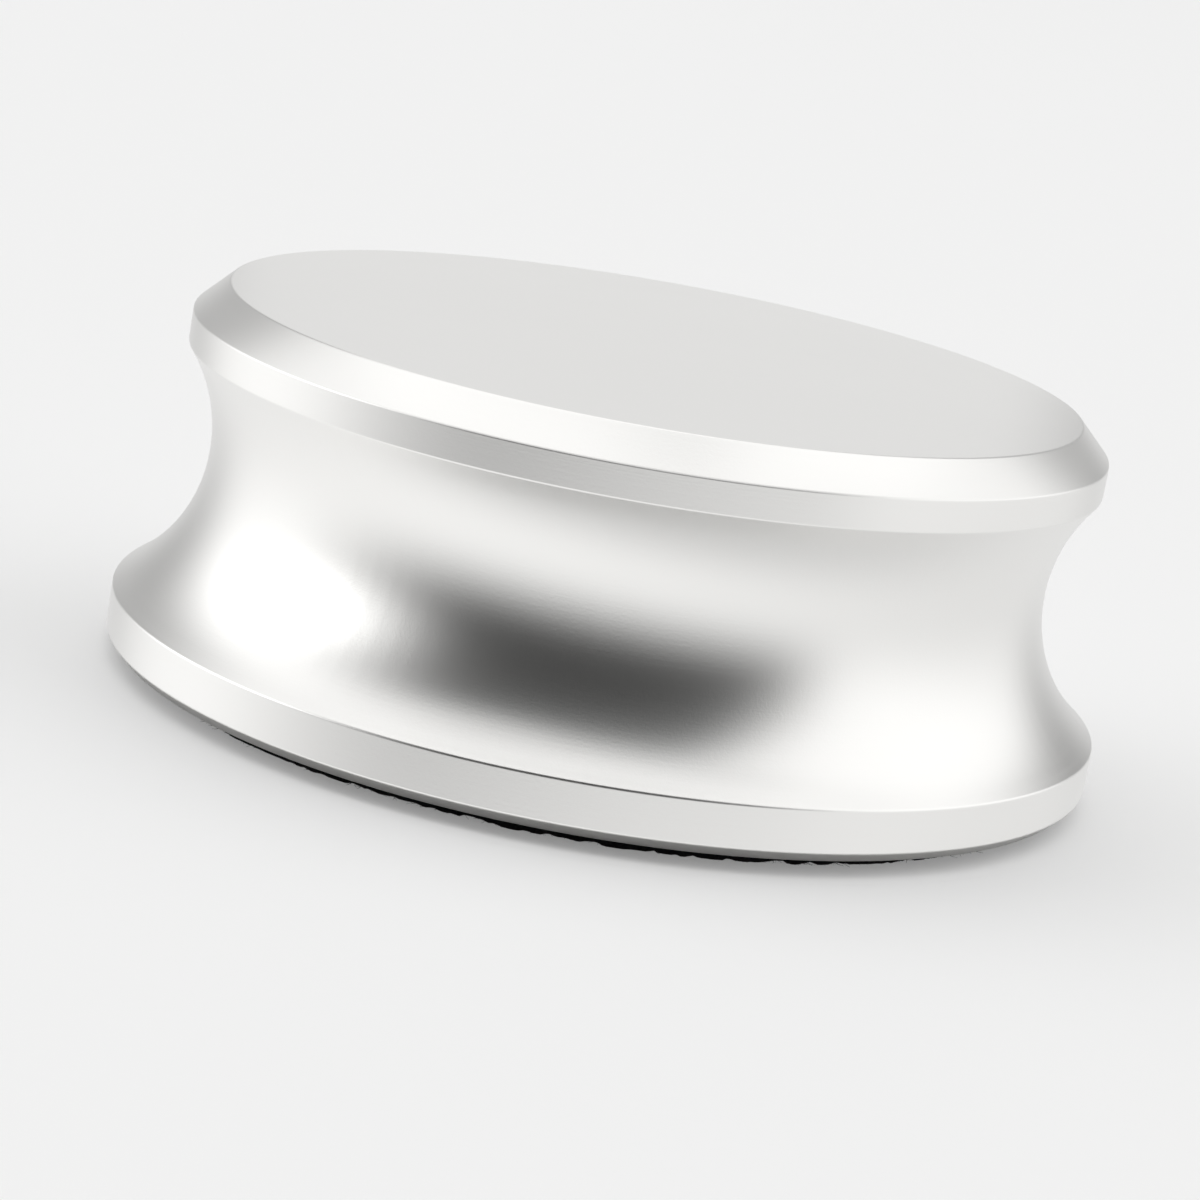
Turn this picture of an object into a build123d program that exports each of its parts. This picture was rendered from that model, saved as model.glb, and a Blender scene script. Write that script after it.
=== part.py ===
"""Record weight: a turned aluminium puck that is set down over a turntable's spindle.

The body is one turned solid with a bevelled top, a hollowed waist and a wider base. A felt ring is bonded to
its underside. Millimetres, +Z up along the spindle's axis, origin at the middle of the felt's underside.
"""

import os
from math import radians, tan

from build123d import *

# Driving dimensions of the turned body
base_diameter = 76.0
top_diameter = 70.0
body_height = 28.0
top_bevel = 2.4
top_rim_height = 2.4
base_rim_height = 3.2
foot_chamfer = 0.8
# Depth of the hollow waist, square to the straight line between the two rims
waist_depth = 4.2
# Break on every turned edge
edge_radius = 0.25

# Driving dimensions of the blind bore for the spindle
spindle_diameter = 7.2
spindle_clearance = 0.1
# Metal left between the end of the bore's wall and the top face
bore_roof = 8.0
bore_lead_in = 1.0
lead_in_angle = 90.0
drill_point_angle = 118.0
# Small flat that the drill's web leaves at the very end
drill_tip_diameter = 0.8

# Driving dimensions of the felt ring
pad_thickness = 1.0
# From the edge of the flat underside in to the felt's outer edge
pad_setback = 2.0
# From the mouth of the bore out to the felt's inner edge
pad_hole_margin = 3.0

# Levels on the axis, from the felt's underside up
underside = pad_thickness
foot_level = underside + foot_chamfer
waist_bottom = foot_level + base_rim_height
top_level = underside + body_height
bevel_level = top_level - top_bevel
waist_top = bevel_level - top_rim_height
bore_end = top_level - bore_roof

# Radii worked out from the driving dimensions
base_radius = base_diameter / 2
top_radius = top_diameter / 2
foot_radius = base_radius - foot_chamfer
top_face_radius = top_radius - top_bevel
bore_radius = spindle_diameter / 2 + spindle_clearance
bore_mouth_radius = bore_radius + bore_lead_in
drill_tip_radius = drill_tip_diameter / 2
drill_point_height = (bore_radius - drill_tip_radius) / tan(radians(drill_point_angle / 2))
pad_radius = foot_radius - pad_setback
pad_hole_radius = bore_mouth_radius + pad_hole_margin

with BuildPart() as weight_body:
    # Half section of the puck, with its corners broken, turned about the spindle's axis
    with BuildSketch(Plane.XZ) as half_section:
        with BuildLine():
            foot_face = Line((0, underside), (foot_radius, underside))
            chamfer_line = Line(foot_face @ 1, (base_radius, foot_level))
            base_rim = Line(chamfer_line @ 1, (base_radius, waist_bottom))
            waist = SagittaArc(base_rim @ 1, (top_radius, waist_top), waist_depth)
            top_rim = Line(waist @ 1, (top_radius, bevel_level))
            bevel = Line(top_rim @ 1, (top_face_radius, top_level))
            top_face = Line(bevel @ 1, (0, top_level))
            Line(top_face @ 1, foot_face @ 0)
        make_face()
        on_axis = half_section.vertices().group_by(Axis.X)[0]
        fillet(half_section.vertices() - on_axis, radius=edge_radius)
    revolve(axis=Axis.Z)

    # Blind bore with a lead-in at its mouth and a drilled point at its end
    with Locations(Plane(origin=(0, 0, underside), z_dir=(0, 0, -1))):
        CounterSinkHole(bore_radius, bore_mouth_radius, bore_end - underside, lead_in_angle)
    with Locations((0, 0, bore_end)):
        Cone(
            bore_radius,
            drill_tip_radius,
            drill_point_height,
            align=(Align.CENTER, Align.CENTER, Align.MIN),
            mode=Mode.SUBTRACT,
        )

with BuildPart() as base_pad:
    with BuildSketch():
        Circle(pad_radius)
        Circle(pad_hole_radius, mode=Mode.SUBTRACT)
    extrude(amount=pad_thickness)

weight_body.part.label = "weight_body"
base_pad.part.label = "base_pad"

os.makedirs("parts", exist_ok=True)
export_step(weight_body.part, "parts/weight_body.step")
export_step(base_pad.part, "parts/base_pad.step")
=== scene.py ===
"""Record weight: a satin aluminium puck on a felt ring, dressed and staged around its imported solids.

Everything is in metres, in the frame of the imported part: +Z up along the spindle's axis, with the
origin at the middle of the felt's underside.
"""

import math
import random

import bmesh
import bpy
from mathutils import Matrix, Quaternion, Vector


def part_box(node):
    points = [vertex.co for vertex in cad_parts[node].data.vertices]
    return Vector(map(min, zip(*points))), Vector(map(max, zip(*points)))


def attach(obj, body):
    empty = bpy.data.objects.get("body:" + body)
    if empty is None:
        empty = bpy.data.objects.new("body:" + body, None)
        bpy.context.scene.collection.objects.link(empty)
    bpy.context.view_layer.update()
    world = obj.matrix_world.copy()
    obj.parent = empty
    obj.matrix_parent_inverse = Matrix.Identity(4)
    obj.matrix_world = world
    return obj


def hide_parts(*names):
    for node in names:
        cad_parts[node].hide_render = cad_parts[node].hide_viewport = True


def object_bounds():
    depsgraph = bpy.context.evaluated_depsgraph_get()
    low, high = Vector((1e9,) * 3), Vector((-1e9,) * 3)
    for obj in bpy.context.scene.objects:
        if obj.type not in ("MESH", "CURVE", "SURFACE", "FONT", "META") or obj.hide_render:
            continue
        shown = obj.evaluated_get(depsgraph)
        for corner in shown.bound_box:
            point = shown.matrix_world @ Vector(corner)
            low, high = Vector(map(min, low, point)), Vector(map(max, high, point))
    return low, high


bl_info = {
    "name": "Record Weight",
    "version": (1, 0, 0),
    "blender": (4, 5, 0),
    "location": "View3D > Sidebar > Record Weight",
    "description": "Dresses a turned record weight in satin aluminium and felt, and stages it",
    "category": "Object",
}

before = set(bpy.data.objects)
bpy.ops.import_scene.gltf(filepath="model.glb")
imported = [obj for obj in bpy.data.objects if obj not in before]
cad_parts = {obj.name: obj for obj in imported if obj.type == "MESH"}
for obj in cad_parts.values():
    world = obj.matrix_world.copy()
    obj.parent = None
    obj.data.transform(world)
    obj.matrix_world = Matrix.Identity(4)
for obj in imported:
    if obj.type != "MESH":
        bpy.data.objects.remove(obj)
CAD_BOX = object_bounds()
BODY_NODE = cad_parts["weight_body"]
PAD_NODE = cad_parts["base_pad"]
PAD_LOW, PAD_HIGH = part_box("base_pad")
PAD_HOLE_RADIUS = min(vertex.co.xy.length for vertex in PAD_NODE.data.vertices)

MILLIMETRE = 0.001
# Places closer than this count as one
NEAR = 0.001 * MILLIMETRE
WHITE = (1.0, 1.0, 1.0, 1.0)
# Corners in the outline of a round piece of the stage
ROUND_CORNERS = 128
# Turn of the camera about its line of sight, and of the tent with it
CAMERA_ROLL = math.radians(10.026)
# Start of the draws that scatter the loose fibres
FIBRE_SEED = 28


class AluminiumFinish(bpy.types.PropertyGroup):
    """Satin blast and clear anodising of the turned body"""

    colour: bpy.props.FloatVectorProperty(
        name="Colour",
        description="Reflected colour of the anodised metal",
        subtype="COLOR",
        size=4,
        default=(0.892, 0.887, 0.87, 1.0),
    )
    roughness: bpy.props.FloatProperty(
        name="Roughness",
        description="How widely the blasted surface spreads a reflection",
        subtype="FACTOR",
        min=0.0,
        max=1.0,
        default=0.3,
    )
    grain_size: bpy.props.FloatProperty(
        name="Grain Size",
        description="Width of one pit of the blasted grain",
        unit="LENGTH",
        default=0.2 * MILLIMETRE,
    )
    grain_depth: bpy.props.FloatProperty(
        name="Grain Depth",
        description="Depth of the blasted grain",
        unit="LENGTH",
        default=0.005 * MILLIMETRE,
    )
    turning_pitch: bpy.props.FloatProperty(
        name="Turning Pitch",
        description="Spacing of the faint lines that the lathe leaves",
        unit="LENGTH",
        default=0.12 * MILLIMETRE,
    )
    turning_depth: bpy.props.FloatProperty(
        name="Turning Depth",
        description="Depth of the faint lines that the lathe leaves",
        unit="LENGTH",
        default=0.0015 * MILLIMETRE,
    )


class FeltRing(bpy.types.PropertyGroup):
    """Die-cut ring of pressed felt, bonded under the foot"""

    radius: bpy.props.FloatProperty(
        name="Radius",
        description="From the spindle's axis out to the ring's cut edge",
        unit="LENGTH",
        default=PAD_HIGH.x,
    )
    hole_radius: bpy.props.FloatProperty(
        name="Hole Radius",
        description="From the spindle's axis out to the edge of the ring's hole",
        unit="LENGTH",
        default=PAD_HOLE_RADIUS,
    )
    thickness: bpy.props.FloatProperty(
        name="Thickness",
        description="Of the felt, from the record's label up to the metal",
        unit="LENGTH",
        default=PAD_HIGH.z - PAD_LOW.z,
    )
    edge_round: bpy.props.FloatProperty(
        name="Edge Round",
        description="Rounding of the cut edges on the underside",
        unit="LENGTH",
        default=0.14 * MILLIMETRE,
    )
    edge_waver: bpy.props.FloatProperty(
        name="Edge Waver",
        description="How far the cut edges waver, from their furthest in to their furthest out",
        unit="LENGTH",
        default=0.45 * MILLIMETRE,
    )
    waver_length: bpy.props.FloatProperty(
        name="Waver Length",
        description="Length of one lump of the cut edges",
        unit="LENGTH",
        default=2.2 * MILLIMETRE,
    )
    edge_lift: bpy.props.FloatProperty(
        name="Edge Lift",
        description="Swing of the lumps that lift the lower edge of the cut rim off the floor",
        unit="LENGTH",
        default=0.5 * MILLIMETRE,
    )
    edge_band: bpy.props.FloatProperty(
        name="Edge Band",
        description="Width of the band along the outer edge that lifts",
        unit="LENGTH",
        default=1.4 * MILLIMETRE,
    )
    lift_length: bpy.props.FloatProperty(
        name="Lift Length",
        description="Length of one lump of the lower edge",
        unit="LENGTH",
        default=1.3 * MILLIMETRE,
    )
    nap_depth: bpy.props.FloatProperty(
        name="Nap Depth",
        description="Unevenness of the pressed underside",
        unit="LENGTH",
        default=0.09 * MILLIMETRE,
    )
    nap_length: bpy.props.FloatProperty(
        name="Nap Length",
        description="Length of one lump of the pressed underside",
        unit="LENGTH",
        default=0.9 * MILLIMETRE,
    )
    fibre_count: bpy.props.IntProperty(
        name="Fibres",
        description="Number of loose fibres on the cut edges and the underside",
        default=4200,
    )
    fibre_length: bpy.props.FloatProperty(
        name="Fibre Length",
        description="Length of the longest loose fibre",
        unit="LENGTH",
        default=0.8 * MILLIMETRE,
    )
    fibre_width: bpy.props.FloatProperty(
        name="Fibre Width",
        description="Thickness of a loose fibre at its root",
        unit="LENGTH",
        default=0.03 * MILLIMETRE,
    )
    colour: bpy.props.FloatVectorProperty(
        name="Colour",
        description="Colour of the dyed wool",
        subtype="COLOR",
        size=4,
        default=(0.014, 0.014, 0.0145, 1.0),
    )


class StudioTent(bpy.types.PropertyGroup):
    """White tent that the metal mirrors; azimuths run from the camera's side, negative to the left"""

    brightness: bpy.props.FloatProperty(
        name="Brightness",
        description="Brightness of the tent's sides and roof",
        default=1.18,
    )
    lean: bpy.props.FloatProperty(
        name="Lean",
        description="Turn of the tent about the line of sight, with the camera",
        subtype="ANGLE",
        default=CAMERA_ROLL,
    )
    opening_left: bpy.props.FloatProperty(
        name="Opening Left",
        description="Azimuth of the left edge of the open front",
        subtype="ANGLE",
        default=math.radians(-67),
    )
    opening_left_soft: bpy.props.FloatProperty(
        name="Left Softness",
        description="Half the width of the opening's soft left edge",
        subtype="ANGLE",
        default=math.radians(35),
    )
    opening_right: bpy.props.FloatProperty(
        name="Opening Right",
        description="Azimuth of the right edge of the open front",
        subtype="ANGLE",
        default=math.radians(53.5),
    )
    opening_right_soft: bpy.props.FloatProperty(
        name="Right Softness",
        description="Half the width of the opening's soft right edge",
        subtype="ANGLE",
        default=math.radians(12),
    )
    opening_top: bpy.props.FloatProperty(
        name="Opening Top",
        description="Elevation of the upper edge of the open front",
        subtype="ANGLE",
        default=math.radians(67),
    )
    opening_top_soft: bpy.props.FloatProperty(
        name="Top Softness",
        description="Half the width of the opening's soft upper edge",
        subtype="ANGLE",
        default=math.radians(8),
    )
    room_brightness: bpy.props.FloatProperty(
        name="Room Brightness",
        description="Brightness of the room beyond the open front",
        default=0.04,
    )
    left_corner: bpy.props.FloatProperty(
        name="Left Corner",
        description="Azimuth of the dim back corner on the left",
        subtype="ANGLE",
        default=math.radians(-146),
    )
    left_corner_span: bpy.props.FloatProperty(
        name="Left Corner Span",
        description="Half the width of the dim corner on the left",
        subtype="ANGLE",
        default=math.radians(29),
    )
    left_corner_shade: bpy.props.FloatProperty(
        name="Left Corner Shade",
        description="Share of the light that the left corner lacks",
        subtype="FACTOR",
        min=0.0,
        max=1.0,
        default=0.66,
    )
    right_corner: bpy.props.FloatProperty(
        name="Right Corner",
        description="Azimuth of the dim back corner on the right",
        subtype="ANGLE",
        default=math.radians(147),
    )
    right_corner_span: bpy.props.FloatProperty(
        name="Right Corner Span",
        description="Half the width of the dim corner on the right",
        subtype="ANGLE",
        default=math.radians(23),
    )
    right_corner_shade: bpy.props.FloatProperty(
        name="Right Corner Shade",
        description="Share of the light that the right corner lacks",
        subtype="FACTOR",
        min=0.0,
        max=1.0,
        default=0.81,
    )
    back_span: bpy.props.FloatProperty(
        name="Back Span",
        description="Half the width of the dim middle of the back",
        subtype="ANGLE",
        default=math.radians(50),
    )
    back_shade: bpy.props.FloatProperty(
        name="Back Shade",
        description="Share of the light that the middle of the back lacks",
        subtype="FACTOR",
        min=0.0,
        max=1.0,
        default=0.33,
    )
    shade_top: bpy.props.FloatProperty(
        name="Shade Top",
        description="Elevation up to which the back and its corners are dim",
        subtype="ANGLE",
        default=math.radians(49.5),
    )
    shade_top_soft: bpy.props.FloatProperty(
        name="Shade Softness",
        description="Half the height of the shade's soft upper edge",
        subtype="ANGLE",
        default=math.radians(15),
    )
    lamp_brightness: bpy.props.FloatProperty(
        name="Lamp Brightness",
        description="Brightness that the lamp adds at its middle",
        default=1.34,
    )
    lamp_azimuth: bpy.props.FloatProperty(
        name="Lamp Azimuth",
        description="Azimuth of the lamp behind the left side",
        subtype="ANGLE",
        default=math.radians(-84.5),
    )
    lamp_span: bpy.props.FloatProperty(
        name="Lamp Span",
        description="Half the width of the lamp's glow",
        subtype="ANGLE",
        default=math.radians(50),
    )
    lamp_elevation: bpy.props.FloatProperty(
        name="Lamp Elevation",
        description="Elevation of the lamp behind the left side",
        subtype="ANGLE",
        default=math.radians(28.5),
    )
    lamp_rise: bpy.props.FloatProperty(
        name="Lamp Rise",
        description="Half the height of the lamp's glow",
        subtype="ANGLE",
        default=math.radians(24),
    )
    sweep_front: bpy.props.FloatProperty(
        name="Sweep Front",
        description="Brightness of the paper sweep where it is brightest",
        default=1.06,
    )
    sweep_back: bpy.props.FloatProperty(
        name="Sweep Back",
        description="Brightness of the paper sweep where it is dimmest",
        default=0.85,
    )
    sweep_under: bpy.props.FloatProperty(
        name="Sweep Under",
        description="Brightness of the paper sweep straight below",
        default=0.7,
    )
    sweep_turn: bpy.props.FloatProperty(
        name="Sweep Turn",
        description="Azimuth at which the paper sweep is brightest",
        subtype="ANGLE",
        default=math.radians(-43),
    )
    horizon: bpy.props.FloatProperty(
        name="Horizon",
        description="Elevation at which the paper sweep meets the walls",
        subtype="ANGLE",
        default=math.radians(-6.5),
    )
    horizon_soft: bpy.props.FloatProperty(
        name="Horizon Softness",
        description="Half the height of the curve between sweep and walls",
        subtype="ANGLE",
        default=math.radians(20),
    )


class FillCard(bpy.types.PropertyGroup):
    """White card bent into a ring, at the height that the flat top mirrors from low down on any side"""

    radius: bpy.props.FloatProperty(
        name="Radius",
        description="From the spindle's axis out to the card",
        unit="LENGTH",
        default=46 * MILLIMETRE,
    )
    low: bpy.props.FloatProperty(
        name="Low",
        description="Height of the card's lower edge",
        unit="LENGTH",
        default=30 * MILLIMETRE,
    )
    high: bpy.props.FloatProperty(
        name="High",
        description="Height of the card's upper edge in front and at the shoulders",
        unit="LENGTH",
        default=56 * MILLIMETRE,
    )
    side_high: bpy.props.FloatProperty(
        name="Side High",
        description="Height of the card's upper edge at the sides and back",
        unit="LENGTH",
        default=74 * MILLIMETRE,
    )
    soft: bpy.props.FloatProperty(
        name="Softness",
        description="Height over which the card's edges fade",
        unit="LENGTH",
        default=4 * MILLIMETRE,
    )
    turn: bpy.props.FloatProperty(
        name="Turn",
        description="Azimuth of the middle of the front, from straight ahead to the right",
        subtype="ANGLE",
        default=math.radians(3),
    )
    blend: bpy.props.FloatProperty(
        name="Blend",
        description="Half the turn over which one stretch passes into the next",
        subtype="ANGLE",
        default=math.radians(10),
    )
    front_brightness: bpy.props.FloatProperty(
        name="Front Brightness",
        description="Brightness of the card in front",
        default=0.83,
    )
    shoulder: bpy.props.FloatProperty(
        name="Shoulder",
        description="Turn from the middle of the front to the start of each shoulder",
        subtype="ANGLE",
        default=math.radians(37),
    )
    shoulder_brightness: bpy.props.FloatProperty(
        name="Shoulder Brightness",
        description="Brightness of the card's shoulders",
        default=1.06,
    )
    side: bpy.props.FloatProperty(
        name="Side",
        description="Turn from the middle of the front to the start of each side",
        subtype="ANGLE",
        default=math.radians(87),
    )
    side_brightness: bpy.props.FloatProperty(
        name="Side Brightness",
        description="Brightness of the card's sides",
        default=0.46,
    )
    back: bpy.props.FloatProperty(
        name="Back",
        description="Turn from the middle of the front to each end of the back",
        subtype="ANGLE",
        default=math.radians(128),
    )
    back_brightness: bpy.props.FloatProperty(
        name="Back Brightness",
        description="Brightness of the card at the back",
        default=0.796,
    )


class StudioStage(bpy.types.PropertyGroup):
    """Pale floor, the softbox over it, the backdrop and the camera"""

    floor_size: bpy.props.FloatProperty(
        name="Floor Size",
        description="Length of each side of the floor",
        unit="LENGTH",
        default=8.0,
    )
    contact_radius: bpy.props.FloatProperty(
        name="Contact Radius",
        description="From the spindle's axis out to the end of the floor that the foot mirrors",
        unit="LENGTH",
        default=CAD_BOX[1].x + 1.2 * MILLIMETRE,
    )
    floor_colour: bpy.props.FloatVectorProperty(
        name="Floor Colour",
        description="Colour of the matt paper floor",
        subtype="COLOR",
        size=4,
        default=(0.7, 0.7, 0.698, 1.0),
    )
    floor_glow: bpy.props.FloatProperty(
        name="Floor Glow",
        description="Light that the camera sees coming up through the paper, which softens the shadow",
        default=0.22,
    )
    overhead_power: bpy.props.FloatProperty(
        name="Overhead Power",
        description="Power of the softbox over the floor, which the metal doesn't mirror",
        unit="POWER",
        default=9.0,
    )
    overhead_size: bpy.props.FloatProperty(
        name="Overhead Size",
        description="Length of each side of the softbox over the floor",
        unit="LENGTH",
        default=3.0,
    )
    overhead_height: bpy.props.FloatProperty(
        name="Overhead Height",
        description="Height of the softbox over the floor",
        unit="LENGTH",
        default=2.0,
    )
    backdrop_brightness: bpy.props.FloatProperty(
        name="Backdrop Brightness",
        description="Brightness of the plain backdrop behind the floor",
        default=0.88,
    )
    lens: bpy.props.FloatProperty(
        name="Lens",
        description="Focal length in millimetres on a 36 mm sensor",
        unit="CAMERA",
        default=121.2,
    )
    aim: bpy.props.FloatVectorProperty(
        name="Aim",
        description="Point that the camera looks at",
        subtype="TRANSLATION",
        default=(-1.015 * MILLIMETRE, 0.0, 8.808 * MILLIMETRE),
    )
    distance: bpy.props.FloatProperty(
        name="Distance",
        description="From the camera to its aim",
        unit="LENGTH",
        default=310.2 * MILLIMETRE,
    )
    azimuth: bpy.props.FloatProperty(
        name="Azimuth",
        description="Turn of the camera round the spindle's axis",
        subtype="ANGLE",
        default=math.radians(0.193),
    )
    elevation: bpy.props.FloatProperty(
        name="Elevation",
        description="Height of the camera above the horizon",
        subtype="ANGLE",
        default=math.radians(13.264),
    )
    roll: bpy.props.FloatProperty(
        name="Roll",
        description="Turn of the camera about its line of sight",
        subtype="ANGLE",
        default=CAMERA_ROLL,
    )


# Shader nodes


def add_node(tree, kind, inputs=None, **settings):
    """Add a shader node, with its settings and with values or links on its inputs."""
    node = tree.nodes.new(kind)
    for name, value in settings.items():
        setattr(node, name, value)
    for key, value in (inputs or {}).items():
        if isinstance(value, bpy.types.NodeSocket):
            tree.links.new(value, node.inputs[key])
        else:
            node.inputs[key].default_value = value
    return node


def math_of(tree, operation, *values):
    """Add a Math node and give its result."""
    return add_node(tree, "ShaderNodeMath", dict(enumerate(values)), operation=operation).outputs[0]


def rest_of(tree, share):
    """What a share leaves of one."""
    return math_of(tree, "SUBTRACT", 1.0, share)


def blend_of(tree, share, first, second):
    """Blend of two values, from all of the first to all of the second."""
    return add_node(tree, "ShaderNodeMix", {"Factor": share, "A": first, "B": second}).outputs["Result"]


def ramp_of(tree, value, start, end, low=0.0, high=1.0):
    """Smooth step of a value, from low at start to high at end."""
    inputs = {"Value": value, "From Min": start, "From Max": end, "To Min": low, "To Max": high}
    return add_node(tree, "ShaderNodeMapRange", inputs, interpolation_type="SMOOTHSTEP").outputs[0]


def edge_of(tree, value, middle, soft):
    """Smooth step of an angle from nothing to one, over a soft edge to each side of its middle."""
    return ramp_of(tree, value, middle - soft, middle + soft)


def spot_of(tree, value, centre, half):
    """One at the centre of an angle's span, falling smoothly to nothing at half the span either side."""
    turned = math_of(tree, "SUBTRACT", value, centre)
    wrapped = math_of(tree, "WRAP", turned, math.pi, -math.pi)
    return ramp_of(tree, math_of(tree, "ABSOLUTE", wrapped), 0.0, half, 1.0, 0.0)


def place_of(tree):
    """Place on a piece, which is the same as in the part's frame."""
    return add_node(tree, "ShaderNodeTexCoord").outputs["Object"]


def axes_of(tree, vector):
    """The X, Y and Z of a vector, by name."""
    return add_node(tree, "ShaderNodeSeparateXYZ", {"Vector": vector}).outputs


def azimuth_of(tree, axes):
    """Azimuth of a place or direction, from the camera's side, negative to the left."""
    return math_of(tree, "ARCTAN2", axes["X"], math_of(tree, "MULTIPLY", axes["Y"], -1.0))


def noise_of(tree, inputs, dimensions="3D"):
    """Add a Noise Texture node and give its value."""
    return add_node(tree, "ShaderNodeTexNoise", inputs, noise_dimensions=dimensions).outputs["Fac"]


def shade_of(tree, share, colour, dark_share):
    """Blend of a colour, from a darker share of it to all of it."""
    dark = [dark_share * channel for channel in colour[:3]] + [1.0]
    inputs = {"Factor": share, "A": dark, "B": colour}
    return add_node(tree, "ShaderNodeMix", inputs, data_type="RGBA").outputs["Result"]


def bump_of(tree, height, depth, normal=None):
    """Add a Bump node of a depth in metres, on top of another bump where there is one."""
    inputs = {"Height": height, "Strength": 1.0, "Distance": depth}
    if normal is not None:
        inputs["Normal"] = normal
    return add_node(tree, "ShaderNodeBump", inputs).outputs[0]


def new_material(name):
    """Make an empty node material, and give its tree too."""
    material = bpy.data.materials.new(name)
    material.use_nodes = True
    material.node_tree.nodes.clear()
    return material, material.node_tree


def show_surface(tree, shader):
    """Make a shader the surface of its material."""
    add_node(tree, "ShaderNodeOutputMaterial", {"Surface": shader.outputs[0]})


# Turned body


def satin_aluminium(finish):
    """Turned aluminium, finely blasted and clear anodised."""
    # With this share of the radius added to the height, the lines run on over every turned face
    radius_share = 0.37
    clouds_per_metre = 90.0
    # Share of the colour that the dullest clouds keep
    dull_share = 0.985
    # Spread of the roughness from line to line
    roughness_swing = 0.04
    material, tree = new_material("satin_aluminium")
    place = place_of(tree)
    axes = axes_of(tree, place)
    flat_place = add_node(tree, "ShaderNodeCombineXYZ", {"X": axes["X"], "Y": axes["Y"]}).outputs[0]
    flat_length = add_node(tree, "ShaderNodeVectorMath", {0: flat_place}, operation="LENGTH")
    along = math_of(tree, "MULTIPLY_ADD", flat_length.outputs["Value"], radius_share, axes["Z"])

    turning = noise_of(tree, {"W": along, "Scale": 1.0 / finish.turning_pitch, "Detail": 2.0}, "1D")
    grain = noise_of(
        tree, {"Vector": place, "Scale": 1.0 / finish.grain_size, "Detail": 3.0, "Roughness": 0.6}
    )
    cloud = noise_of(tree, {"Vector": place, "Scale": clouds_per_metre, "Detail": 3.0})
    smoothest = finish.roughness - roughness_swing / 2
    turned = bump_of(tree, turning, finish.turning_depth)
    shader = add_node(
        tree,
        "ShaderNodeBsdfPrincipled",
        {
            "Base Color": shade_of(tree, cloud, finish.colour, dull_share),
            "Metallic": 1.0,
            "Roughness": math_of(tree, "MULTIPLY_ADD", turning, roughness_swing, smoothest),
            "Normal": bump_of(tree, grain, finish.grain_depth, turned),
        },
    )
    show_surface(tree, shader)
    return material


# Felt ring


def black_felt(felt):
    """Pressed wool felt, dyed black."""
    mats_per_metre = 4500.0
    mat_depth = 0.05 * MILLIMETRE
    # Share of the colour that is left in the hollows between the fibres, where the bump is lowest:
    # partly the wool's own uneven tone, partly painted shade
    hollow_shade_share = 0.3
    material, tree = new_material("pressed_black_felt")
    matted = noise_of(
        tree,
        {
            "Vector": place_of(tree),
            "Scale": mats_per_metre,
            "Detail": 4.0,
            "Roughness": 0.65,
            "Distortion": 1.6,
        },
    )
    shader = add_node(
        tree,
        "ShaderNodeBsdfPrincipled",
        {
            # Darker where the matting is low: partly the wool's uneven tone, partly painted shade in the
            # bump's hollows
            "Base Color": shade_of(tree, matted, felt.colour, hollow_shade_share),
            "Roughness": 0.95,
            "Specular IOR Level": 0.2,
            "Sheen Weight": 0.06,
            "Sheen Roughness": 0.5,
            "Normal": bump_of(tree, matted, mat_depth),
        },
    )
    show_surface(tree, shader)
    return material


def select_where(piece, test):
    """In edit mode, select the vertices whose place passes a test, with the edges and faces between."""
    bpy.ops.mesh.select_mode(type="VERT")
    bpy.ops.mesh.select_all(action="DESELECT")
    mesh = bmesh.from_edit_mesh(piece.data)
    for vertex in mesh.verts:
        vertex.select = test(vertex.co)
    mesh.select_flush(True)
    bmesh.update_edit_mesh(piece.data)


def spin_felt_ring(felt):
    """Spin a section with rounded lower corners into the plain ring."""
    corner_segments = 4
    underside_cuts = 44
    edge_cuts = 4
    spin_steps = 720
    middle = (felt.radius + felt.hole_radius) / 2
    bpy.ops.object.select_all(action="DESELECT")
    bpy.ops.mesh.primitive_plane_add(
        size=1.0, location=(middle, 0.0, felt.thickness / 2), rotation=(math.pi / 2, 0.0, 0.0)
    )
    ring = bpy.context.object
    ring.name = "felt_ring"
    ring.scale = (felt.radius - felt.hole_radius, felt.thickness, 1.0)
    bpy.ops.object.transform_apply(location=True, rotation=True, scale=True)

    bpy.ops.object.mode_set(mode="EDIT")
    select_where(ring, lambda place: place.z < NEAR)
    bpy.ops.mesh.bevel(offset=felt.edge_round, segments=corner_segments, affect="VERTICES")
    bpy.ops.mesh.select_all(action="SELECT")
    bpy.ops.mesh.delete(type="ONLY_FACE")
    select_where(ring, lambda place: place.z < NEAR)
    bpy.ops.mesh.subdivide(number_cuts=underside_cuts)
    for edge_radius in (felt.radius, felt.hole_radius):
        select_where(ring, lambda place: abs(place.x - edge_radius) < NEAR)
        bpy.ops.mesh.subdivide(number_cuts=edge_cuts)
    bpy.ops.mesh.select_all(action="SELECT")
    bpy.ops.mesh.spin(steps=spin_steps, angle=2 * math.pi, center=(0, 0, 0), axis=(0, 0, 1))
    bpy.ops.mesh.select_all(action="SELECT")
    bpy.ops.mesh.remove_doubles(threshold=NEAR)
    bpy.ops.mesh.normals_make_consistent(inside=False)
    bpy.ops.object.mode_set(mode="OBJECT")
    return ring


def lump(piece, group, size, depth, direction, rest):
    """Displace a vertex group by a cloud of lumps. It stays still where the cloud has its rest value."""
    texture = bpy.data.textures.new(group, "CLOUDS")
    texture.noise_scale = size
    texture.noise_depth = 2
    texture.contrast = 1.5
    modifier = piece.modifiers.new(group, "DISPLACE")
    modifier.texture = texture
    modifier.texture_coords = "LOCAL"
    modifier.vertex_group = group
    modifier.direction = direction
    modifier.strength = depth
    modifier.mid_level = rest
    bpy.ops.object.modifier_apply(modifier=modifier.name)
    bpy.data.textures.remove(texture)


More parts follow.
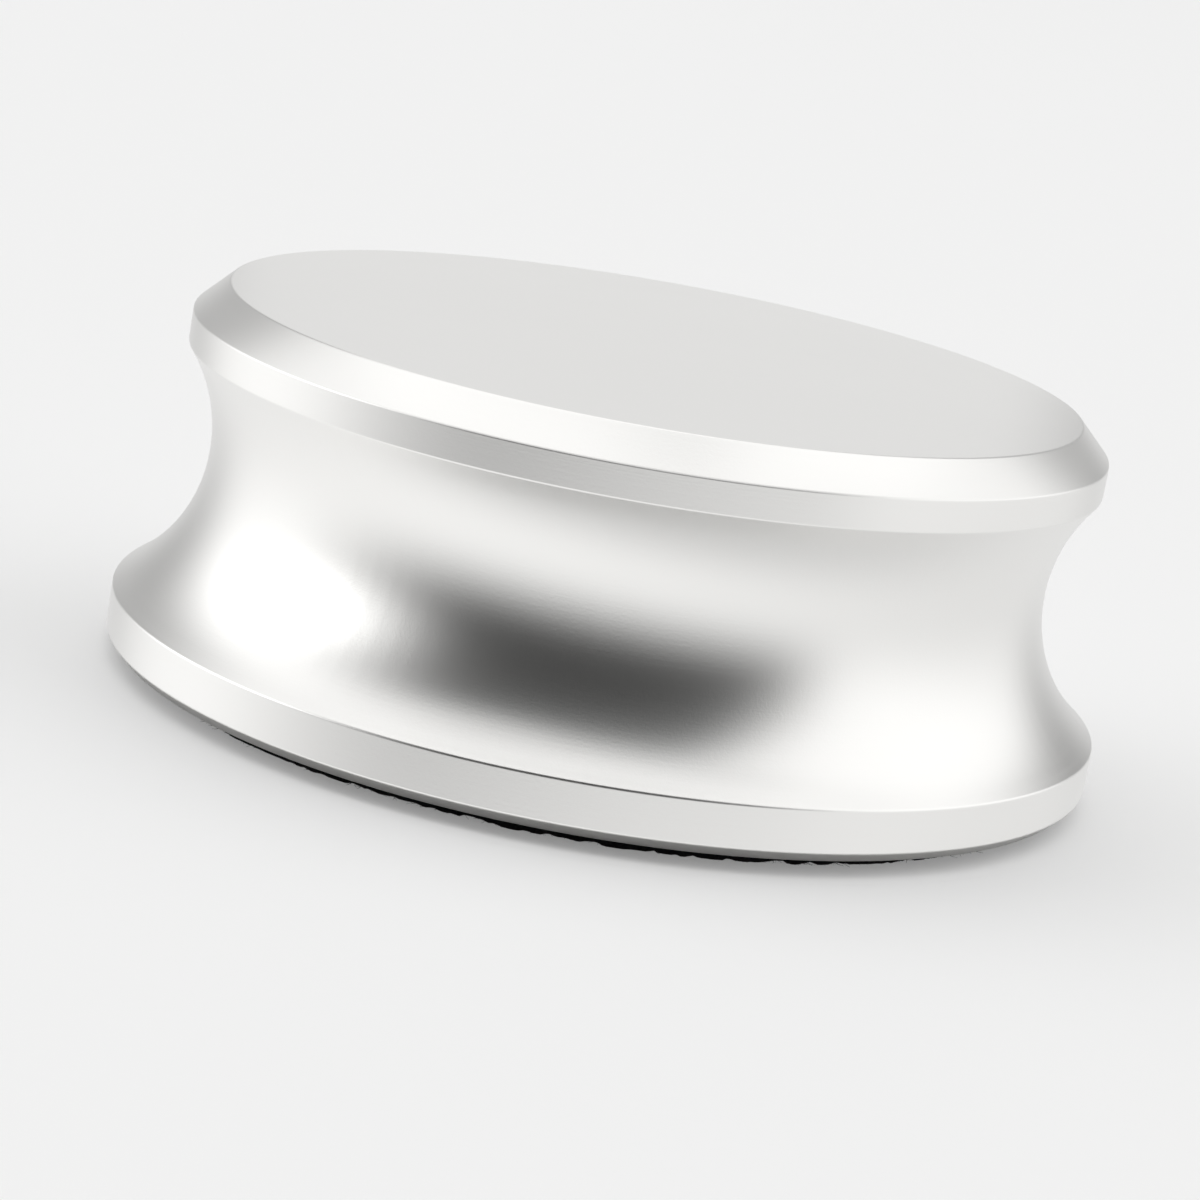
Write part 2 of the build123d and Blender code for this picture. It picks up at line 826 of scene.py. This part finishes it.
def model_felt_ring(felt):
    """Model the ring, with cut edges that waver, an uneven underside and a lower edge that lifts."""
    ring = spin_felt_ring(felt)
    cut_edge = ring.vertex_groups.new(name="cut_edge")
    underside = ring.vertex_groups.new(name="underside")
    lower_edge = ring.vertex_groups.new(name="lower_edge")
    for vertex in ring.data.vertices:
        if vertex.co.z > felt.thickness - NEAR:
            continue
        group = underside if vertex.co.z < NEAR else cut_edge
        group.add([vertex.index], 1.0, "REPLACE")
        from_edge = (felt.radius - vertex.co.xy.length) / felt.edge_band
        from_floor = vertex.co.z / felt.thickness
        lower_edge.add([vertex.index], max(0.0, 1.0 - from_edge) * (1.0 - from_floor), "REPLACE")
    lump(ring, "cut_edge", felt.waver_length, felt.edge_waver, "NORMAL", rest=0.75)
    lump(ring, "underside", felt.nap_length, felt.nap_depth, "NORMAL", rest=1.0)
    lump(ring, "lower_edge", felt.lift_length, felt.edge_lift, "Z", rest=0.5)
    ring.vertex_groups.clear()

    # What the lumps push below the floor is pressed flat on it
    bpy.ops.object.mode_set(mode="EDIT")
    select_where(ring, lambda place: place.z < 0.0)
    bpy.ops.transform.resize(value=(1, 1, 0), center_override=(0, 0, 0))
    bpy.ops.object.mode_set(mode="OBJECT")
    bpy.ops.object.shade_smooth()
    return ring


def fibre_points(draw, felt, count):
    """Points of one curved fibre, from its root in a cut edge or on the underside to its tip."""
    # Shares of the fibres in the outer edge, and in either cut edge
    outer_share = 0.75
    edge_share = 0.88
    # Depth of a root in its edge, in wavers, and its height, as a share of the felt's thickness
    root_depths = (0.3, 1.2)
    root_heights = (0.08, 0.92)
    # The shortest fibre as a share of the longest, and a power that makes short ones more common
    shortest = 0.3
    shortening = 1.5
    # How far a fibre leans along the edge and up, then bends the same ways, for each length out
    sideways = (-1.4, 1.4)
    upwards = (-0.6, 0.3)
    sideways_bend = (-0.8, 0.8)
    upwards_bend = (-0.7, 0.1)
    bending = 0.6
    # Clear of the floor and the metal by this many widths
    clear_widths = 2.5

    angle = draw.uniform(0, 2 * math.pi)
    out = Vector((math.cos(angle), math.sin(angle), 0.0))
    along = Vector((-out.y, out.x, 0.0))
    length = felt.fibre_length * draw.uniform(shortest, 1.0) ** shortening
    place = draw.random()
    if place < outer_share:
        root = out * (felt.radius - felt.edge_waver * draw.uniform(*root_depths))
        way = out
    elif place < edge_share:
        root = out * (felt.hole_radius + felt.edge_waver * draw.uniform(*root_depths))
        way = -out
    else:
        root = out * draw.uniform(felt.hole_radius, felt.radius)
        way = out * draw.uniform(-1, 1)
    root.z = felt.thickness * draw.uniform(*root_heights) if place < edge_share else felt.nap_depth
    way = way + along * draw.uniform(*sideways) + Vector((0, 0, draw.uniform(*upwards)))
    way.normalize()
    bend = along * draw.uniform(*sideways_bend) + Vector((0, 0, draw.uniform(*upwards_bend)))

    clear = clear_widths * felt.fibre_width
    points = []
    for step in range(count):
        share = step / (count - 1)
        point = root + (way * share + bend * share * share * bending) * length
        point.z = min(max(point.z, clear), felt.thickness - clear)
        points.append(point)
    return points


def model_felt_fibres(felt):
    """Grow loose fibres out of the cut edges and the underside, as one mesh of thin tapered tubes."""
    draw = random.Random(FIBRE_SEED)
    # Widths from root to tip, as shares of the root's width
    tapers = (1.0, 0.9, 0.7, 0.35)
    strands = bpy.data.curves.new("felt_fibres", "CURVE")
    strands.dimensions = "3D"
    strands.bevel_depth = felt.fibre_width / 2
    strands.bevel_resolution = 0
    strands.use_fill_caps = True
    for _ in range(felt.fibre_count):
        spline = strands.splines.new("POLY")
        spline.points.add(len(tapers) - 1)
        places = fibre_points(draw, felt, len(tapers))
        for point, place, taper in zip(spline.points, places, tapers):
            point.co = (*place, 1.0)
            point.radius = taper
    fibres = bpy.data.objects.new("felt_fibres", strands)
    bpy.context.scene.collection.objects.link(fibres)
    bpy.ops.object.select_all(action="DESELECT")
    fibres.select_set(True)
    bpy.context.view_layer.objects.active = fibres
    bpy.ops.object.convert(target="MESH")
    return bpy.context.object


# Stage


def hide_from(piece, *rays):
    """Hide an object from rays of the given kinds."""
    for ray in rays:
        setattr(piece, f"visible_{ray}", False)


def pale_paper(stage):
    """Matt paper of the floor, which the camera sees lit a little from below."""
    material, tree = new_material("pale_paper")
    seen = add_node(tree, "ShaderNodeLightPath").outputs["Is Camera Ray"]
    shader = add_node(
        tree,
        "ShaderNodeBsdfPrincipled",
        {
            "Base Color": stage.floor_colour,
            "Roughness": 0.9,
            "Specular IOR Level": 0.1,
            "Emission Color": WHITE,
            "Emission Strength": math_of(tree, "MULTIPLY", seen, stage.floor_glow),
        },
    )
    show_surface(tree, shader)
    return material


def add_floor(stage):
    """Large flat floor. The metal mirrors only its middle, and the tent's sweep beyond that."""
    paper = pale_paper(stage)
    # Just under the felt, with the middle half as far down
    level = -0.02 * MILLIMETRE
    bpy.ops.object.select_all(action="DESELECT")
    bpy.ops.mesh.primitive_plane_add(size=stage.floor_size, location=(0, 0, level))
    floor = bpy.context.object
    floor.name = "floor"
    hide_from(floor, "glossy")
    bpy.ops.mesh.primitive_circle_add(
        vertices=ROUND_CORNERS,
        radius=stage.contact_radius,
        fill_type="NGON",
        location=(0, 0, level / 2),
    )
    contact = bpy.context.object
    contact.name = "floor_contact"
    for piece in (floor, contact):
        piece.data.materials.append(paper)


def tent_walls(tree, tent, azimuth, elevation):
    """Brightness of the walls and roof, dim low down in the back, and of the lamp and the open front."""
    low = rest_of(tree, edge_of(tree, elevation, tent.shade_top, tent.shade_top_soft))
    light = tent.brightness
    for centre, half, shade in (
        (tent.left_corner, tent.left_corner_span, tent.left_corner_shade),
        (tent.right_corner, tent.right_corner_span, tent.right_corner_shade),
        (math.pi, tent.back_span, tent.back_shade),
    ):
        dim = math_of(tree, "MULTIPLY", spot_of(tree, azimuth, centre, half), low)
        light = math_of(tree, "MULTIPLY", light, math_of(tree, "MULTIPLY_ADD", dim, -shade, 1.0))

    past_left = edge_of(tree, azimuth, tent.opening_left, tent.opening_left_soft)
    past_right = edge_of(tree, azimuth, tent.opening_right, tent.opening_right_soft)
    past_top = edge_of(tree, elevation, tent.opening_top, tent.opening_top_soft)
    inside = math_of(tree, "MULTIPLY", past_left, rest_of(tree, past_right))
    opening = math_of(tree, "MULTIPLY", inside, rest_of(tree, past_top))
    light = blend_of(tree, opening, light, tent.room_brightness)

    across = spot_of(tree, azimuth, tent.lamp_azimuth, tent.lamp_span)
    upright = spot_of(tree, elevation, tent.lamp_elevation, tent.lamp_rise)
    glow = math_of(tree, "MULTIPLY", across, upright)
    return math_of(tree, "MULTIPLY_ADD", glow, tent.lamp_brightness, light)


def tent_sweep(tree, tent, azimuth, elevation):
    """Brightness of the paper sweep under the tent, brightest to one side and dim straight below."""
    # Elevations where the dim part ends, and where the sweep has its full light
    dim_end = math.radians(-75)
    full_light = math.radians(-35)
    # One at the brightest azimuth, and nothing on the far side from it
    turned = math_of(tree, "SUBTRACT", azimuth, tent.sweep_turn)
    front = math_of(tree, "MULTIPLY_ADD", math_of(tree, "COSINE", turned), 0.5, 0.5)
    sweep = blend_of(tree, front, tent.sweep_back, tent.sweep_front)
    steep = ramp_of(tree, elevation, dim_end, full_light, 1.0, 0.0)
    return blend_of(tree, steep, sweep, tent.sweep_under)


def add_world(tent, stage):
    """The tent, leaning with the camera, which itself sees a plain backdrop in its place."""
    world = bpy.data.worlds.new("studio_tent")
    world.use_nodes = True
    bpy.context.scene.world = world
    tree = world.node_tree
    tree.nodes.clear()
    way = add_node(tree, "ShaderNodeTexCoord").outputs["Generated"]
    upright = add_node(
        tree, "ShaderNodeVectorRotate", {"Vector": way, "Angle": tent.lean}, rotation_type="Y_AXIS"
    )
    axes = axes_of(tree, upright.outputs[0])
    azimuth = azimuth_of(tree, axes)
    elevation = math_of(tree, "ARCSINE", axes["Z"])
    walls = tent_walls(tree, tent, azimuth, elevation)
    sweep = tent_sweep(tree, tent, azimuth, elevation)
    strength = blend_of(tree, edge_of(tree, elevation, tent.horizon, tent.horizon_soft), sweep, walls)

    mirrored = add_node(tree, "ShaderNodeBackground", {"Color": WHITE, "Strength": strength})
    backdrop = add_node(
        tree, "ShaderNodeBackground", {"Color": WHITE, "Strength": stage.backdrop_brightness}
    )
    seen = add_node(tree, "ShaderNodeLightPath").outputs["Is Camera Ray"]
    either = add_node(
        tree, "ShaderNodeMixShader", {0: seen, 1: mirrored.outputs[0], 2: backdrop.outputs[0]}
    )
    add_node(tree, "ShaderNodeOutputWorld", {"Surface": either.outputs[0]})


def card_paper(card):
    """Glowing white paper, brighter or dimmer in each stretch, that fades out at both its edges."""
    material, tree = new_material("card_paper")
    axes = axes_of(tree, place_of(tree))
    from_front = math_of(tree, "SUBTRACT", azimuth_of(tree, axes), card.turn)
    turned = math_of(tree, "ABSOLUTE", from_front)
    strength = card.front_brightness
    for start, brightness in (
        (card.shoulder, card.shoulder_brightness),
        (card.side, card.side_brightness),
        (card.back, card.back_brightness),
    ):
        strength = blend_of(tree, edge_of(tree, turned, start, card.blend), strength, brightness)

    top = blend_of(tree, edge_of(tree, turned, card.side, card.blend), card.high, card.side_high)
    above = ramp_of(tree, axes["Z"], card.low, card.low + card.soft)
    below = ramp_of(tree, axes["Z"], math_of(tree, "SUBTRACT", top, card.soft), top, 1.0, 0.0)
    cover = math_of(tree, "MULTIPLY", above, below)
    clear = add_node(tree, "ShaderNodeBsdfTransparent")
    lit = add_node(tree, "ShaderNodeEmission", {"Strength": strength})
    either = add_node(tree, "ShaderNodeMixShader", {0: cover, 1: clear.outputs[0], 2: lit.outputs[0]})
    show_surface(tree, either)
    return material


def add_fill_card(card):
    """Ring of card round the weight, a little above it, which shows only in reflections."""
    bpy.ops.object.select_all(action="DESELECT")
    bpy.ops.mesh.primitive_circle_add(
        vertices=ROUND_CORNERS, radius=card.radius, fill_type="NOTHING", location=(0, 0, card.low)
    )
    band = bpy.context.object
    band.name = "fill_card"
    bpy.ops.object.transform_apply(location=True, rotation=True, scale=True)
    bpy.ops.object.mode_set(mode="EDIT")
    bpy.ops.mesh.select_all(action="SELECT")
    bpy.ops.mesh.extrude_region_move(TRANSFORM_OT_translate={"value": (0, 0, card.side_high - card.low)})
    bpy.ops.object.mode_set(mode="OBJECT")
    band.data.materials.append(card_paper(card))
    hide_from(band, "camera", "diffuse", "transmission", "volume_scatter", "shadow")


def add_overhead(stage):
    """Wide softbox that lights the floor from above."""
    lamp = bpy.data.lights.new("overhead_softbox", "AREA")
    lamp.shape = "SQUARE"
    lamp.size = stage.overhead_size
    lamp.energy = stage.overhead_power
    softbox = bpy.data.objects.new("overhead_softbox", lamp)
    bpy.context.scene.collection.objects.link(softbox)
    softbox.location.z = stage.overhead_height
    hide_from(softbox, "camera", "glossy")


def add_camera(stage):
    """Camera at the photograph's viewing angle."""
    flat = math.cos(stage.elevation)
    back = Vector(
        (math.sin(stage.azimuth) * flat, -math.cos(stage.azimuth) * flat, math.sin(stage.elevation))
    )
    camera = bpy.data.cameras.new("camera")
    camera.lens = stage.lens
    camera.clip_start = 0.01
    camera.clip_end = 20.0
    holder = bpy.data.objects.new("camera", camera)
    bpy.context.scene.collection.objects.link(holder)
    holder.location = Vector(stage.aim) + back * stage.distance
    holder.rotation_mode = "QUATERNION"
    holder.rotation_quaternion = (-back).to_track_quat("-Z", "Y") @ Quaternion((0, 0, 1), stage.roll)
    bpy.context.scene.camera = holder


# Operators, panel and registration


class RECORDWEIGHT_OT_finish_body(bpy.types.Operator):
    """Give the turned body its satin aluminium"""

    bl_idname = "record_weight.finish_body"
    bl_label = "Finish Body"

    def execute(self, context):
        BODY_NODE.material_slots[0].material = satin_aluminium(context.scene.aluminium_finish)
        return {"FINISHED"}


class RECORDWEIGHT_OT_felt_ring(bpy.types.Operator):
    """Model the felt ring and its loose fibres under the foot"""

    bl_idname = "record_weight.felt_ring"
    bl_label = "Felt Ring"

    def execute(self, context):
        felt = context.scene.felt_ring
        ring = model_felt_ring(felt)
        fibres = model_felt_fibres(felt)
        material = black_felt(felt)
        for piece in (ring, fibres):
            piece.data.materials.clear()
            piece.data.materials.append(material)
            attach(piece, "root")
        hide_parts("base_pad")
        return {"FINISHED"}


class RECORDWEIGHT_OT_stage(bpy.types.Operator):
    """Set up the floor, the tent, the fill card, the softbox and the camera"""

    bl_idname = "record_weight.stage"
    bl_label = "Stage"

    def execute(self, context):
        stage = context.scene.studio_stage
        add_floor(stage)
        add_world(context.scene.studio_tent, stage)
        add_fill_card(context.scene.fill_card)
        add_overhead(stage)
        add_camera(stage)
        context.scene.view_settings.view_transform = "Standard"
        return {"FINISHED"}


class RECORDWEIGHT_PT_sidebar(bpy.types.Panel):
    """Lists the operators, with the sizes and colours that each one takes"""

    bl_idname = "RECORDWEIGHT_PT_sidebar"
    bl_label = "Record Weight"
    bl_space_type = "VIEW_3D"
    bl_region_type = "UI"
    bl_category = "Record Weight"

    def draw(self, context):
        scene = context.scene
        for operator, groups in (
            (RECORDWEIGHT_OT_finish_body, [scene.aluminium_finish]),
            (RECORDWEIGHT_OT_felt_ring, [scene.felt_ring]),
            (RECORDWEIGHT_OT_stage, [scene.studio_stage, scene.studio_tent, scene.fill_card]),
        ):
            box = self.layout.box()
            box.operator(operator.bl_idname)
            for settings in groups:
                for name in settings.__annotations__:
                    box.prop(settings, name)


SETTINGS = {
    "aluminium_finish": AluminiumFinish,
    "felt_ring": FeltRing,
    "studio_tent": StudioTent,
    "fill_card": FillCard,
    "studio_stage": StudioStage,
}
CLASSES = (
    *SETTINGS.values(),
    RECORDWEIGHT_OT_finish_body,
    RECORDWEIGHT_OT_felt_ring,
    RECORDWEIGHT_OT_stage,
    RECORDWEIGHT_PT_sidebar,
)


def register():
    """Register the classes, and give the scene their settings."""
    for item in CLASSES:
        bpy.utils.register_class(item)
    for name, group in SETTINGS.items():
        setattr(bpy.types.Scene, name, bpy.props.PointerProperty(type=group))


def unregister():
    """Take the settings off the scene, and the classes out again."""
    for name in SETTINGS:
        delattr(bpy.types.Scene, name)
    for item in reversed(CLASSES):
        bpy.utils.unregister_class(item)


def main():
    """Dress and stage the weight."""
    register()
    bpy.ops.record_weight.finish_body()
    bpy.ops.record_weight.felt_ring()
    bpy.ops.record_weight.stage()


if __name__ == "__main__":
    main()
